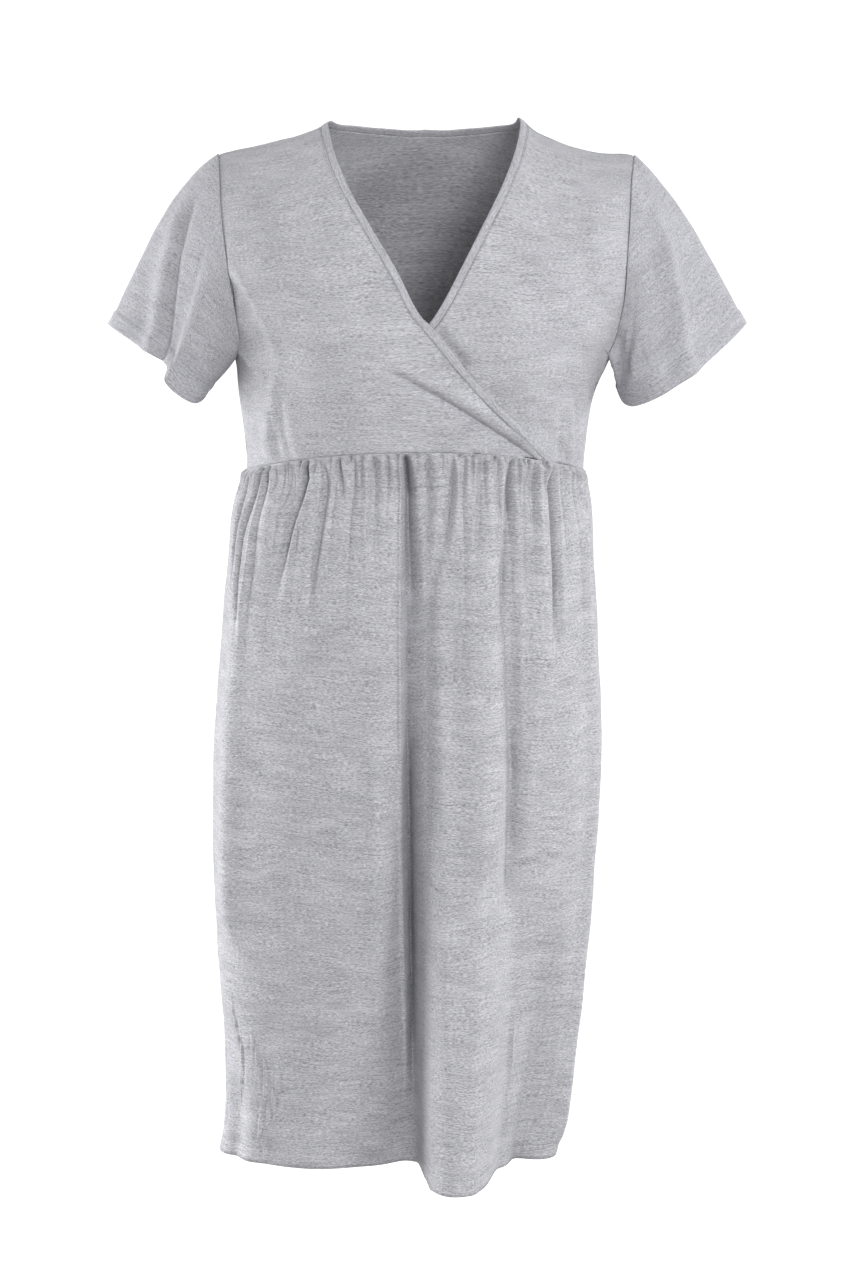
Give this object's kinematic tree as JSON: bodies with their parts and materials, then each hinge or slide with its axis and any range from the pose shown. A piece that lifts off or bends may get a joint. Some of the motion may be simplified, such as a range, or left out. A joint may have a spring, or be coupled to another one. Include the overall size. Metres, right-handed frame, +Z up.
{
  "type": "short-sleeved jersey dress",
  "caption": "Worn form of a knee-length jersey dress with a crossover V neck, short sleeves, an arched empire seam and a gathered skirt, hollow and open at neck, sleeves and hem.",
  "frame": {"origin": "midway between the two high shoulder points, where the wearer's shoulders hold the dress", "axes": "+Z up along the body, -Y the front of the dress, +X the wearer's left"},
  "size_m": [0.583, 0.2651, 0.9722],
  "materials": {
    "bodice": "heather grey cotton jersey",
    "sleeve": "heather grey cotton jersey",
    "neck_band": "heather grey cotton jersey, folded double",
    "skirt": "heather grey cotton jersey"
  },
  "bodies": {
    "root": {"bodice_front_right": "bodice", "bodice_front_left": "bodice", "bodice_back": "bodice", "sleeve_right": "sleeve", "sleeve_left": "sleeve", "neck_band": "neck_band", "skirt_front": "skirt", "skirt_back": "skirt"}
  },
  "joints": []
}
